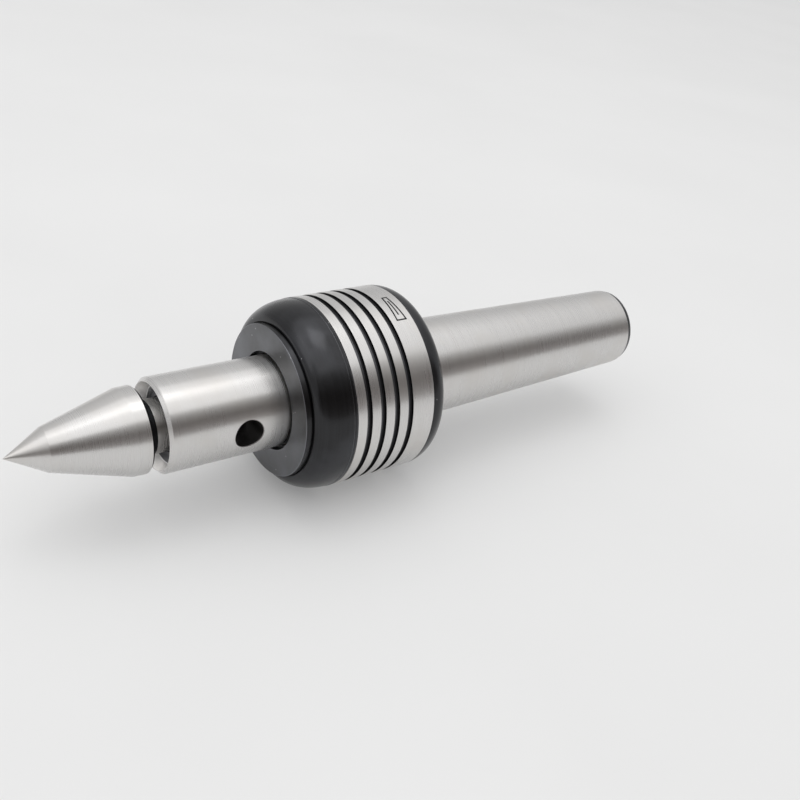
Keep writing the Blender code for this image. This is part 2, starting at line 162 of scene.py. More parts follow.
# Interchangeable point.
APEX_LENGTH = 0.12
APEX_RADIUS = 0.07
TIP_LENGTH = 14.6
TIP_REAR_RADIUS = 8.57
CONE_REAR = -131.0
CONE_REAR_RADIUS = 17.2
HEAD_REAR = -125.0
HEAD_RADIUS = 17.4
HEAD_EDGE = 1.0
POINT_SHANK_RADIUS = 10.8
# Where the painted shade on the point's shank, behind the head, ends.
POINT_SHADE_BAND_REAR = -121.4
POINT_SHANK_CHAMFER = 1.0

# Bearings: bores, lands, pitch circles and balls, all as radii.
BALL_GAP = 0.35
RACE_EDGE = 0.6
TRACK_STEPS = 16
BEARINGS = {
    "front": {
        "bore": 17.8, "inner_land": 21.6, "outer_land": 26.9,
        "pitch": 24.25, "ball": 3.97, "balls": 11,
    },
    "rear": {
        "bore": 10.3, "inner_land": 13.8, "outer_land": 19.7,
        "pitch": 16.75, "ball": 3.97, "balls": 8,
    },
}
THRUST = {"bore": 15.3, "pitch": 20.5, "ball": 3.5, "balls": 12}
CAGE_HALF_THICKNESS = 1.0
CAGE_EDGE = 0.35
CAGE_DRILL_DEPTH = 6.0
THRUST_CAGE_INNER = 16.2
SHARP_ANGLE = math.radians(30)

# Seal, spring and lock nut.
SEAL_LIP_HEIGHT = 2.4
SEAL_LIP_SLOPE = 0.4
SEAL_LIP_WIDTH = 1.0
SEAL_BACK_SLOPE = 0.6
SEAL_HOLLOW_HEIGHT = 3.4
O_RING_STEPS = 24
SPRING_BORE = 17.5
SPRING_RISE = 0.4
NUT_CHAMFER = 0.8
NUT_SLOTS = 4
NUT_SLOT_SIZE = (12.8, 4.0, 4.4)

# The taper symbol: outer and inner outline as (round, along) places, and half its dash.
MARK_ANGLE = math.radians(12)
MARK_PROUD = 0.012
MARK_SUNK = 0.15
MARK_OUTER = [(-7.5, -1.4), (7.5, -2.6), (7.5, 2.6), (-7.5, 1.4)]
MARK_INNER = [(-6.8, -0.75), (6.8, -1.85), (6.8, 1.85), (-6.8, 0.75)]
MARK_DASH = (4.5, 0.33)

# Finishes.
FACE_STRETCH = 1.37
SMUDGE_SHARE = 0.45
PIT_COLOUR = (0.20, 0.19, 0.18)
BARE_COLOUR = (0.42, 0.42, 0.43)
ALONG_GROOVES = 0.25

# Stage.
FLOOR_SIZE = 30.0
FLOOR_DARK = (0.635, 0.635, 0.633)
FLOOR_LIGHT = (0.655, 0.655, 0.653)
# The floor's even glow, painted fill light that lightens its shadows.
FLOOR_FILL_GLOW = 0.165
FLOOR_GAP = 0.0001
KEY_PLACE = (-0.05, 0.0, 1.5)
KEY_TARGET = (-0.05, 0.0, 0.0)
KEY_SIZE = 2.3
KEY_RADIANCE = 0.37
BOX_TARGET = (-0.06, 0.0, 0.0)
TOP_PLACE = (0.01, 0.12, 1.38)
TOP_SIZE = 0.6
TOP_RADIANCE = 1.3
SIDE_PLACE = (-1.08, 0.13, 0.87)
SIDE_SIZE = 0.8
SIDE_RADIANCE = 0.45
WORLD_LOW = (0.60, 0.602, 0.606)
WORLD_HIGH = (0.86, 0.86, 0.86)
CARD_BACK = -1.2
CARD_LOW = 0.0
CARD_HIGH = 2.0
CARD_HALF_WIDTH = 2.4
CARD_STOPS = (
    (0.00, (0.34, 0.325, 0.32)),
    (0.14, (0.20, 0.185, 0.18)),
    (0.28, (0.13, 0.118, 0.112)),
    (0.47, (0.26, 0.250, 0.245)),
    (0.72, (0.55, 0.545, 0.54)),
    (1.00, (0.84, 0.84, 0.84)),
)

# Camera that matches the photograph: place, direction and lens.
CAMERA_PLACE = (-0.2502, -0.2948, 0.2239)
CAMERA_FORWARD = (0.5516, 0.6467, -0.5268)
CAMERA_UP = (0.1953, 0.5138, 0.8354)
CAMERA_LENS = 44.65
CAMERA_SENSOR = 36.0
CAMERA_REACH = 60.0

Corner = collections.namedtuple("Corner", "station radius round finish edge")
Ring = collections.namedtuple("Ring", "station radius before after finish")


# ---------------------------------------------------------------- turned meshes

def corner(station, radius, round=0.0, finish=None, edge=None):
    """A corner of an outline. The finish covers what follows it, and the edge its own round."""
    return Corner(station, radius, round, finish, edge)


def quarter(start, end, steps, start_radial):
    """A quarter of an ellipse between two (station, radius) places, as smooth corners."""
    found = []
    for i in range(steps + 1):
        angle = 0.5 * math.pi * i / steps
        along, across = 1 - math.cos(angle), math.sin(angle)
        if not start_radial:
            along, across = across, along
        station = start[0] + (end[0] - start[0]) * along
        radius = start[1] + (end[1] - start[1]) * across
        found.append(corner(station, radius, SMOOTH))
    return found


def arc(centre, radius, start, end, steps, closed=False):
    """Corners on a circular arc in the (station, radius) plane, with angles in degrees from +X."""
    found = []
    for i in range(steps + (0 if closed else 1)):
        angle = math.radians(start + (end - start) * i / steps)
        station = centre[0] + radius * math.cos(angle)
        found.append(corner(station, centre[1] + radius * math.sin(angle), SMOOTH))
    return found


def direction(a, b):
    """The unit direction along the outline from one corner to the next."""
    along = Vector((b.station - a.station, b.radius - a.radius))
    return along.normalized()


def outward(along, side):
    """The outline's outward normal beside a direction along it."""
    return Vector((along.y, -along.x)) * side


def outline_side(corners):
    """+1 or -1, whichever turns a direction along the outline into its outward normal."""
    area = 0.0
    for a, b in zip(corners, corners[1:] + corners[:1]):
        area += a.station * b.radius - b.station * a.radius
    return 1.0 if area > 0 else -1.0


def rounded(at, before, after, room, side, finish):
    """The rings of one filleted corner, between the two directions that meet there."""
    turn = math.acos(max(-1.0, min(1.0, before.dot(after))))
    reach = min(at.round * math.tan(0.5 * turn), 0.45 * room)
    radius = reach / math.tan(0.5 * turn)
    steps = max(3, math.ceil(turn / ARC_STEP))
    first = outward(before, side)
    last = outward(after, side)
    start = Vector((at.station, at.radius)) - before * reach
    inward = 1.0 if first.dot(after) < 0 else -1.0
    centre = start - first * radius * inward
    rings = []
    for i in range(steps + 1):
        share = i / steps
        normal = first * math.sin((1 - share) * turn) + last * math.sin(share * turn)
        normal.normalize()
        place = centre + normal * radius * inward
        cover = finish if i == steps else (at.edge or finish)
        rings.append(Ring(place.x, place.y, normal, normal, cover))
    return rings


def rings_of(corners):
    """The outline as rings, with fillets made, a normal either side, and each strip's finish."""
    side = outline_side(corners)
    closed = corners[0].radius > 0 or corners[-1].radius > 0
    last = len(corners) - 1
    finish = corners[0].finish
    rings = []
    for i, at in enumerate(corners):
        finish = at.finish or finish
        behind, ahead = corners[i - 1], corners[(i + 1) % len(corners)]
        before, after = direction(behind, at), direction(at, ahead)
        if not closed and i == 0:
            before = after
        if not closed and i == last:
            after = before
        if at.round == SMOOTH:
            normal = (outward(before, side) + outward(after, side)).normalized()
            rings.append(Ring(at.station, at.radius, normal, normal, finish))
        elif at.round > 0 and abs(before.dot(after)) < 0.9999:
            near = Vector((behind.station - at.station, behind.radius - at.radius)).length
            far = Vector((ahead.station - at.station, ahead.radius - at.radius)).length
            rings += rounded(at, before, after, min(near, far), side, finish)
        else:
            rings.append(
                Ring(at.station, at.radius, outward(before, side), outward(after, side), finish)
            )
    return rings, closed, side


def spun(normal, angle):
    """A normal of the outline, turned about X to the angle of a segment."""
    return (normal.x, -normal.y * math.sin(angle), normal.y * math.cos(angle))


def turned_mesh(name, corners, segments):
    """The outline turned about X as (mesh, finish names), with exact normals."""
    rings, closed, side = rings_of(corners)
    points, index = [], []
    for ring in rings:
        index.append(len(points))
        if ring.radius < 1e-6:
            points.append((ring.station * MM, 0.0, 0.0))
            continue
        for k in range(segments):
            angle = math.tau * k / segments
            across = ring.radius * MM
            points.append((ring.station * MM, -across * math.sin(angle), across * math.cos(angle)))
    names = sorted({ring.finish for ring in rings})
    faces, normals, covers = [], [], []
    pairs = list(zip(range(len(rings)), range(1, len(rings))))
    if closed:
        pairs.append((len(rings) - 1, 0))
    for i, j in pairs:
        first, second = rings[i], rings[j]
        if first.radius < 1e-6 and second.radius < 1e-6:
            continue
        for k in range(segments):
            face, normal = strip_face(first, second, index[i], index[j], k, segments)
            if side < 0:
                face.reverse()
                normal.reverse()
            faces.append(face)
            normals += normal
            covers.append(names.index(first.finish))
    mesh = bpy.data.meshes.new(name)
    mesh.from_pydata(points, [], faces)
    mesh.polygons.foreach_set("material_index", covers)
    mesh.shade_smooth()
    mesh.normals_split_custom_set(normals)
    for finish in names:
        mesh.materials.append(FINISHES[finish])
    return mesh


def strip_face(first, second, i, j, k, segments):
    """One face between two rings, at segment k: a quad, or a triangle at a ring on the axis."""
    after = (k + 1) % segments
    angle, next_angle = math.tau * k / segments, math.tau * (k + 1) / segments
    middle = 0.5 * (angle + next_angle)
    face, normal = [], []
    if first.radius < 1e-6:
        face.append(i)
        normal.append(spun(first.after, middle))
    else:
        face += [i + after, i + k]
        normal += [spun(first.after, next_angle), spun(first.after, angle)]
    if second.radius < 1e-6:
        face.append(j)
        normal.append(spun(second.before, middle))
    else:
        face += [j + k, j + after]
        normal += [spun(second.before, angle), spun(second.before, next_angle)]
    return face, normal


def body_of(node):
    """The body that a CAD node belongs to."""
    for body, members in frame["record"]["behaviour"]["bodies"].items():
        if node in members:
            return body
    raise ValueError(node)


def stand_in(node, mesh):
    """Shows the mesh in place of a CAD node, on the node's own body."""
    piece = linked_object(node + "_fine", mesh)
    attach(piece, body_of(node))
    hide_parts(node)
    return piece


def turned(node, corners, segments=SEGMENTS):
    """Shows an outline turned about X in place of a CAD node."""
    return stand_in(node, turned_mesh(node + "_fine", corners, segments))


def span(node):
    """Front station, rear station and outside radius of a CAD node, in millimetres."""
    low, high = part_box(node)
    return low.x / MM, high.x / MM, high.z / MM


def linked_object(name, data):
    """A new object in the scene with the given mesh, light or camera."""
    made = bpy.data.objects.new(name, data)
    bpy.context.scene.collection.objects.link(made)
    return made


def mesh_of(bm, name, finish):
    """The bmesh as a new mesh of one finish."""
    mesh = bpy.data.meshes.new(name)
    bm.to_mesh(mesh)
    bm.free()
    mesh.materials.append(finish)
    return mesh


def subtract(mesh, cutter_mesh):
    """The mesh with the cutter taken out of it. The cutter's faces keep their finish."""
    target = linked_object("cut_target", mesh)
    cutter = linked_object("cutter", cutter_mesh)
    boolean = target.modifiers.new("cut", "BOOLEAN")
    boolean.operation = "DIFFERENCE"
    boolean.solver = "EXACT"
    boolean.material_mode = "TRANSFER"
    boolean.object = cutter
    graph = bpy.context.evaluated_depsgraph_get()
    made = bpy.data.meshes.new_from_object(target.evaluated_get(graph), depsgraph=graph)
    bpy.data.objects.remove(target)
    bpy.data.objects.remove(cutter)
    return made


# ---------------------------------------------------------------- finishes

def add(tree, kind, inputs=None, **settings):
    """A node with its settings, and its inputs set to values or linked to sockets."""
    node = tree.nodes.new(kind)
    for key, value in settings.items():
        setattr(node, key, value)
    for key, value in (inputs or {}).items():
        if isinstance(value, bpy.types.NodeSocket):
            tree.links.new(value, node.inputs[key])
        else:
            node.inputs[key].default_value = value
    return node


def math_node(tree, operation, a, b=0.0, c=0.0):
    return add(tree, "ShaderNodeMath", {0: a, 1: b, 2: c}, operation=operation).outputs[0]


def ramp(tree, value, low, high, to_low=0.0, to_high=1.0):
    """The value remapped and clamped from low..high to to_low..to_high."""
    node = add(tree, "ShaderNodeMapRange", {0: value, 1: low, 2: high, 3: to_low, 4: to_high})
    node.clamp = True
    return node.outputs[0]


def mixed(tree, share, a, b):
    """A colour between a and b."""
    node = add(tree, "ShaderNodeMix", {0: share}, data_type="RGBA")
    for socket, value in ((6, a), (7, b)):
        if isinstance(value, bpy.types.NodeSocket):
            tree.links.new(value, node.inputs[socket])
        else:
            node.inputs[socket].default_value = (*value, 1.0)
    return node.outputs[2]


def across_marks(tree):
    """A length that grows across the tool marks: along a cylinder, and outwards on a face."""
    place = add(tree, "ShaderNodeTexCoord").outputs["Object"]
    split = add(tree, "ShaderNodeSeparateXYZ", {0: place})
    flat = add(tree, "ShaderNodeVectorMath", {0: place, 1: (0, 1, 1)}, operation="MULTIPLY")
    radius = add(tree, "ShaderNodeVectorMath", {0: flat.outputs[0]}, operation="LENGTH")
    across = math_node(tree, "MULTIPLY_ADD", radius.outputs["Value"], FACE_STRETCH, split.outputs[0])
    return across, split, place


def line_noise(tree, across, split, per_metre, drift, detail):
    """Noise drawn out into rings round the axis."""
    vector = add(tree, "ShaderNodeCombineXYZ", {
        0: math_node(tree, "MULTIPLY", across, per_metre),
        1: math_node(tree, "MULTIPLY", split.outputs[1], drift),
        2: math_node(tree, "MULTIPLY", split.outputs[2], drift),
    })
    return cloud_noise(tree, vector.outputs[0], 1.0, detail)


def cloud_noise(tree, place, scale, detail):
    noise = add(tree, "ShaderNodeTexNoise", {"Vector": place, "Scale": scale, "Detail": detail})
    return noise.outputs[0]


def specks(tree, place, scale, size, share):
    """Small round spots scattered over the surface: 1 inside a spot."""
    cells = add(tree, "ShaderNodeTexVoronoi", {"Vector": place, "Scale": scale})
    spot = ramp(tree, cells.outputs["Distance"], size, 0.6 * size)
    split = add(tree, "ShaderNodeSeparateColor", {0: cells.outputs["Color"]})
    chosen = math_node(tree, "LESS_THAN", split.outputs[0], share)
    return math_node(tree, "MULTIPLY", spot, chosen)


def bump(tree, height, strength, distance):
    inputs = {"Strength": strength, "Distance": distance, "Height": height}
    return add(tree, "ShaderNodeBump", inputs).outputs[0]


def new_finish(name):
    """A new material as (material, node tree, inputs of its shader)."""
    made = bpy.data.materials.new(name)
    made.use_nodes = True
    return made, made.node_tree, made.node_tree.nodes["Principled BSDF"].inputs


def steel(name, colour, roughness, anisotropy, line_share, line_depth):
    """Ground or turned steel: fine rings, a broad drift of tone, faint handling marks and pits."""
    made, tree, shader = new_finish(name)
    across, split, place = across_marks(tree)
    fine = line_noise(tree, across, split, 2600.0, 14.0, 3.0)
    coarse = line_noise(tree, across, split, 420.0, 7.0, 2.0)
    cloud = cloud_noise(tree, place, 55.0, 4.0)
    fine_part = math_node(tree, "MULTIPLY", fine, 0.65)
    coarse_part = math_node(tree, "MULTIPLY", coarse, 0.35)
    lines = math_node(tree, "ADD", fine_part, coarse_part)
    dark = tuple(value * (1 - line_share) for value in colour)
    light = tuple(min(1.0, value * (1 + 0.6 * line_share)) for value in colour)
    tone = mixed(tree, ramp(tree, lines, 0.3, 0.7), dark, light)
    smudge = ramp(tree, cloud, 0.48, 0.72)
    warm = (colour[0] * 0.93, colour[1] * 0.90, colour[2] * 0.86)
    tone = mixed(tree, math_node(tree, "MULTIPLY", smudge, SMUDGE_SHARE), tone, warm)
    pits = specks(tree, place, 260.0, 0.10, 0.05)
    tone = mixed(tree, math_node(tree, "MULTIPLY", pits, 0.5), tone, PIT_COLOUR)
    tree.links.new(tone, shader["Base Color"])
    rough = ramp(tree, lines, 0.25, 0.75, roughness - 0.05, roughness + 0.06)
    rough = math_node(tree, "MULTIPLY_ADD", smudge, 0.05, rough)
    tree.links.new(rough, shader["Roughness"])
    tree.links.new(bump(tree, lines, line_depth, 0.00002), shader["Normal"])
    tangent = add(tree, "ShaderNodeTangent", direction_type="RADIAL", axis="X")
    tree.links.new(tangent.outputs[0], shader["Tangent"])
    shader["Metallic"].default_value = 1.0
    shader["Anisotropic"].default_value = anisotropy
    shader["Anisotropic Rotation"].default_value = ALONG_GROOVES
    return made


def black(name, colour, roughness, speck_share):
    """Black oxide on turned steel: a dark sheen, faint rings, oily patches and bare specks."""
    made, tree, shader = new_finish(name)
    across, split, place = across_marks(tree)
    lines = line_noise(tree, across, split, 1500.0, 10.0, 3.0)
    cloud = cloud_noise(tree, place, 48.0, 5.0)
    patch = ramp(tree, cloud, 0.38, 0.68)
    darker = tuple(value * 0.72 for value in colour)
    lighter = (colour[0] * 1.25, colour[1] * 1.27, colour[2] * 1.32)
    tone = mixed(tree, patch, darker, lighter)
    tone = mixed(tree, ramp(tree, lines, 0.35, 0.75, 0.0, 0.25), tone, lighter)
    bare = specks(tree, place, 330.0, 0.11, speck_share)
    tone = mixed(tree, bare, tone, BARE_COLOUR)
    tree.links.new(tone, shader["Base Color"])
    rough = ramp(tree, lines, 0.25, 0.75, roughness - 0.03, roughness + 0.04)
    rough = math_node(tree, "MULTIPLY_ADD", patch, 0.07, rough)
    tree.links.new(rough, shader["Roughness"])
    tree.links.new(bump(tree, lines, 0.25, 0.00001), shader["Normal"])
    shader["Metallic"].default_value = 1.0
    return made


def brass(name):
    """Turned brass, tarnished in patches and brighter along its rings."""
    made, tree, shader = new_finish(name)
    across, split, place = across_marks(tree)
    lines = line_noise(tree, across, split, 1800.0, 20.0, 3.0)
    cloud = cloud_noise(tree, place, 90.0, 4.0)
    tone = mixed(tree, ramp(tree, cloud, 0.35, 0.7), (0.72, 0.52, 0.22), (0.55, 0.36, 0.14))
    tone = mixed(tree, ramp(tree, lines, 0.4, 0.8, 0.0, 0.4), tone, (0.84, 0.66, 0.34))
    tree.links.new(tone, shader["Base Color"])
    tree.links.new(ramp(tree, lines, 0.2, 0.8, 0.28, 0.42), shader["Roughness"])
    tree.links.new(bump(tree, lines, 0.3, 0.00002), shader["Normal"])
    shader["Metallic"].default_value = 1.0
    return made


def rubber(name):
    """Matt black rubber with a fine grain."""
    made, tree, shader = new_finish(name)
    place = add(tree, "ShaderNodeTexCoord").outputs["Object"]
    grain = cloud_noise(tree, place, 2200.0, 3.0)
    cloud = cloud_noise(tree, place, 80.0, 3.0)
    tone = mixed(tree, ramp(tree, cloud, 0.35, 0.7), (0.012, 0.012, 0.013), (0.030, 0.030, 0.031))
    tree.links.new(tone, shader["Base Color"])
    tree.links.new(ramp(tree, grain, 0.3, 0.7, 0.50, 0.68), shader["Roughness"])
    tree.links.new(bump(tree, grain, 0.35, 0.00003), shader["Normal"])
    return made


def floor_finish(name):
    """Pale acrylic with a barely visible mottle, glowing evenly: painted fill light that lifts the
    shadows on it.
    """
    made, tree, shader = new_finish(name)
    place = add(tree, "ShaderNodeTexCoord").outputs["Object"]
    cloud = cloud_noise(tree, place, 6.0, 3.0)
    tone = mixed(tree, ramp(tree, cloud, 0.3, 0.7), FLOOR_DARK, FLOOR_LIGHT)
    tree.links.new(tone, shader["Base Color"])
    shader["Roughness"].default_value = 0.75
    shader["Specular IOR Level"].default_value = 0.2
    shader["Emission Color"].default_value = (1.0, 1.0, 1.0, 1.0)
    # Painted fill light: the floor glows so that its shadows stay light.
    shader["Emission Strength"].default_value = FLOOR_FILL_GLOW
    return made


FINISHES = {
    "ground": steel("ground_steel", (0.655, 0.645, 0.635), 0.28, 0.70, 0.05, 0.06),
    "recess": steel("recess_wall", (0.90, 0.89, 0.88), 0.30, 0.30, 0.05, 0.20),
    "machined": steel("machined_steel", (0.46, 0.45, 0.44), 0.34, 0.40, 0.16, 0.60),
    # Steel darkened as painted shade inside bores, pockets and sockets.
    "bore": steel("bore_painted_shade", (0.16, 0.155, 0.155), 0.40, 0.20, 0.20, 0.60),
    # Steel darkened as painted shade inside the drift hole.
    "hole": steel("drift_hole_painted_shade", (0.20, 0.19, 0.19), 0.36, 0.0, 0.20, 0.50),
    "polished": steel("bearing_steel", (0.72, 0.72, 0.725), 0.12, 0.20, 0.05, 0.12),
    "spring": steel("spring_steel", (0.28, 0.285, 0.31), 0.30, 0.30, 0.14, 0.40),
    "black": black("black_oxide", (0.052, 0.052, 0.054), 0.19, 0.06),
    # Black lightened to grey: a painted sheen for the boss face's reflection.
    "face": black("black_face_painted_sheen", (0.153, 0.154, 0.158), 0.30, 0.02),
    # Edge rounds in a lighter black: partly wear, partly a painted highlight.
    "worn": black("worn_and_sheen_black_edge", (0.19, 0.19, 0.20), 0.28, 0.10),
    # Deep black for the taper mark and the point's back, and painted shade on groove walls, the boss
    # groove and behind the point's head.
    "wall": black("deep_black_oxide_print_and_shade", (0.022, 0.022, 0.023), 0.40, 0.0),
    # A lighter black: a painted highlight on the barrel groove floors, and painted shade on the
    # spindle's recess floor.
    "groove": black("black_groove_sheen_and_recess_shade", (0.11, 0.11, 0.115), 0.26, 0.01),
    "brass": brass("cage_brass"),
    "rubber": rubber("seal_rubber"),
}


# ---------------------------------------------------------------- housing and cap

def taper_radius(station):
    """The shank's radius, which falls towards its end."""
    return TAPER_GAUGE_RADIUS - station / TAPER_PER_RADIUS


def barrel_grooves(barrel, barrel_front):
    """The black grooves, with rounded floors, and the ground lands between them. The walls are
    darkened as painted shade and the floors lightened as a painted highlight line.
    """
    found = []
    for i in range(GROOVE_COUNT):
        front = barrel_front + GROOVE_OFFSET + i * GROOVE_PITCH
        rear = front + GROOVE_WIDTH
        floor = barrel - GROOVE_DEPTH
        # Painted shade on the groove walls, and a painted highlight line on the floor.
        found += [
            corner(front, barrel, LAND_EDGE, "wall", "ground"),
            corner(front, floor, GROOVE_ROUND, "groove", "wall"),
            corner(rear, floor, GROOVE_ROUND, "wall", "wall"),
            corner(rear, barrel, LAND_EDGE, "ground", "ground"),
        ]
    return found


def housing_shank():
    """Barrel and taper shank: ground lands and taper, black grooves, rear and shank end."""
    neck_front, shank_end, barrel = span("housing_shank")
    barrel_front = span("front_cap")[1] + GAP
    race_rear = span("front_bearing_outer_race")[1] + GAP
    race_radius = span("front_bearing_outer_race")[2] + GAP
    washer_radius = span("thrust_housing_washer")[2] + GAP
    spring_rear = span("disc_spring")[1] + 2 * GAP
    rear_radius = span("rear_bearing_outer_race")[2] + GAP
    rear_shoulder = span("rear_bearing_outer_race")[1] + GAP
    ring_station = 0.5 * (span("cap_o_ring")[0] + span("cap_o_ring")[1])
    chamfer_start = shank_end - SHANK_CHAMFER
    outline = [
        # The pocket inside the housing is dark steel: painted shade.
        corner(POCKET_END + POCKET_CONE_DEPTH, 0, 0.0, "bore"),
        corner(POCKET_END, POCKET_RADIUS, BORE_EDGE),
        corner(rear_shoulder, POCKET_RADIUS, BORE_EDGE, "machined"),
        corner(rear_shoulder, rear_radius, BORE_EDGE),
        corner(spring_rear, rear_radius, BORE_EDGE),
        corner(spring_rear, washer_radius, BORE_EDGE),
        corner(race_rear, washer_radius, BORE_EDGE),
        corner(race_rear, race_radius, BORE_EDGE),
        corner(neck_front, race_radius, BORE_EDGE),
        corner(neck_front, NECK_RADIUS, NECK_CHAMFER),
        corner(ring_station - O_RING_SEAT_HALF, NECK_RADIUS, LAND_EDGE),
        corner(ring_station - O_RING_SEAT_HALF, O_RING_SEAT_RADIUS, BORE_EDGE),
        corner(ring_station + O_RING_SEAT_HALF, O_RING_SEAT_RADIUS, BORE_EDGE),
        corner(ring_station + O_RING_SEAT_HALF, NECK_RADIUS, LAND_EDGE),
        corner(barrel_front, NECK_RADIUS, BORE_EDGE),
        corner(barrel_front, barrel, LAND_EDGE, "ground", "ground"),
    ]
    outline += barrel_grooves(barrel, barrel_front)
    outline.append(corner(BARREL_REAR - BLACK_EDGE_LENGTH, barrel, 0.0, "ground"))
    face_rim = (REAR_FACE, REAR_FACE_RADIUS)
    rear_round = quarter((BARREL_REAR, barrel), face_rim, REAR_ARC_STEPS, False)
    rear_round[0] = corner(BARREL_REAR, barrel - BLACK_EDGE_DEPTH, 0.0, "black")
    outline += rear_round[:-1]
    outline += [
        corner(REAR_FACE, REAR_FACE_RADIUS, 0.0, "black"),
        corner(REAR_FACE, taper_radius(REAR_FACE) + ROOT_HEIGHT, 0.5, "black"),
        corner(REAR_FACE + ROOT_LENGTH, taper_radius(REAR_FACE) + 0.05, 0.3, "ground"),
        corner(chamfer_start, taper_radius(chamfer_start), 0.3, "black", "ground"),
        # The shank end's edge round is lighter: partly wear, partly a painted highlight.
        corner(shank_end, SHANK_END_RADIUS, 0.4, "black", "worn"),
        corner(shank_end, CENTRE_MOUTH_RADIUS + CENTRE_RIM, 0.0, "machined"),
        corner(shank_end - CENTRE_RIM, CENTRE_MOUTH_RADIUS, 0.2, "machined"),
        # The pilot hole is dark steel: painted shade.
        corner(shank_end - CENTRE_CONE_DEPTH, CENTRE_PILOT_RADIUS, 0.2, "bore"),
        corner(shank_end - CENTRE_PILOT_DEPTH + CENTRE_PILOT_CONE, CENTRE_PILOT_RADIUS, 0.0),
        corner(shank_end - CENTRE_PILOT_DEPTH, 0),
    ]
    turned("housing_shank", outline)


def front_cap():
    """The black cap: a flat boss lightened as painted sheen, its rim lighter partly from wear and
    partly as painted highlight, a fine groove at its foot darkened as painted shade, a round
    shoulder.
    """
    boss_front, cap_rear, outside = span("front_cap")
    boss_rear = boss_front + BOSS_HEIGHT
    shoulder_rear = cap_rear - SHOULDER_REAR_OFFSET
    outline = [
        corner(cap_rear, NECK_RADIUS + GAP, 0.3, "black"),
        corner(CAP_INNER_FACE, NECK_RADIUS + GAP, 0.4),
        corner(CAP_INNER_FACE, SEAL_POCKET_RADIUS, 0.3),
        corner(SEAL_POCKET_FRONT, SEAL_POCKET_RADIUS, 0.3),
        corner(SEAL_POCKET_FRONT, CAP_BORE_RADIUS, 0.3),
        # The boss face is a lighter black as painted sheen; its rim is lighter, partly wear and
        # partly a painted highlight.
        corner(boss_front, CAP_BORE_RADIUS, 0.35, "face", "worn"),
        corner(boss_front, BOSS_RADIUS - BOSS_SIDE_SLOPE, 0.3, "black", "worn"),
        # The groove at the boss's foot is the darkest black: painted shade in the corner.
        corner(boss_rear, BOSS_RADIUS, 0.15, "wall"),
        corner(boss_rear + BOSS_GROOVE_DEPTH, BOSS_RADIUS + 0.1, 0.1, "wall"),
        corner(boss_rear, BOSS_RADIUS + SHOULDER_GROOVE, 0.0, "black"),
    ]
    shoulder_start = (boss_rear, BOSS_RADIUS + SHOULDER_GROOVE + 0.1)
    shoulder_end = (shoulder_rear, outside - SHOULDER_STEP)
    outline += quarter(shoulder_start, shoulder_end, SHOULDER_ARC_STEPS, True)
    outline += [
        corner(shoulder_rear + 0.1, outside - SHOULDER_STEP, 0.05, "black"),
        # Lighter rounds at the shoulder's rear edges: partly wear, partly a painted highlight.
        corner(shoulder_rear + 0.3, outside, 0.1, "black", "worn"),
        corner(cap_rear, outside, CAP_EDGE, "black", "worn"),
    ]
    turned("front_cap", outline)


def taper_mark():
    """A generic taper symbol in black on the wide land: a slender trapezoid with a dash in it."""
    barrel = span("housing_shank")[2]
    first_groove = span("front_cap")[1] + GAP + GROOVE_OFFSET
    last_groove = first_groove + (GROOVE_COUNT - 1) * GROOVE_PITCH + GROOVE_WIDTH
    middle = 0.5 * (last_groove + BARREL_REAR)
    bm = bmesh.new()
    inlay_band(bm, barrel, middle, subdivided(MARK_OUTER), subdivided(MARK_INNER))
    inlay_strip(bm, barrel, middle, *MARK_DASH)
    bmesh.ops.recalc_face_normals(bm, faces=bm.faces)
    piece = linked_object("taper_mark", mesh_of(bm, "taper_mark", FINISHES["wall"]))
    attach(piece, "housing")


def subdivided(loop, steps=14):
    """A loop with each side divided, so that it follows the barrel when wrapped."""
    found = []
    for a, b in zip(loop, loop[1:] + loop[:1]):
        for i in range(steps):
            found.append((a[0] + (b[0] - a[0]) * i / steps, a[1] + (b[1] - a[1]) * i / steps))
    return found


def wrapped(bm, loop, radius, middle, barrel):
    """A loop of (round, along) places as vertices wrapped on the barrel at the given radius."""
    found = []
    for round_way, along in loop:
        angle = MARK_ANGLE + round_way / barrel
        across = radius * MM
        station = (middle + along) * MM
        found.append(bm.verts.new((station, -across * math.sin(angle), across * math.cos(angle))))
    return found


def inlay_band(bm, barrel, middle, outer, inner):
    """A closed band between two loops, sunk in the barrel and just proud of it."""
    high, low = barrel + MARK_PROUD, barrel - MARK_SUNK
    loops = [
        wrapped(bm, outer, high, middle, barrel),
        wrapped(bm, inner, high, middle, barrel),
        wrapped(bm, inner, low, middle, barrel),
        wrapped(bm, outer, low, middle, barrel),
    ]
    for a, b in zip(loops, loops[1:] + loops[:1]):
        bridge(bm, a, b)


def inlay_strip(bm, barrel, middle, half_length, half_width, steps=16):
    """A closed straight strip round the barrel, sunk in it and just proud of it."""
    rows = []
    for i in range(steps + 1):
        way = half_length * (2 * i / steps - 1)
        edges = [(way, -half_width), (way, half_width)]
        high = wrapped(bm, edges, barrel + MARK_PROUD, middle, barrel)
        low = wrapped(bm, edges, barrel - MARK_SUNK, middle, barrel)
        rows.append([high[0], high[1], low[1], low[0]])
    for a, b in zip(rows, rows[1:]):
        bridge(bm, a, b)
    bm.faces.new(rows[0])
    bm.faces.new(rows[-1])


# ---------------------------------------------------------------- spindle and point

def thread(front, rear, crest):
    """Thread crests and roots as plain rings, from front to rear."""
    found = []
    turns = int((rear - front) / THREAD_PITCH)
    root = crest - THREAD_DEPTH
    for i in range(turns):
        start = front + i * THREAD_PITCH
        found += [
            corner(start + THREAD_CREST_FRONT, crest, 0.05),
            corner(start + THREAD_ROOT_PLACE, root, 0.08),
            corner(start + THREAD_CREST_REAR, crest, 0.05),
        ]
    return found


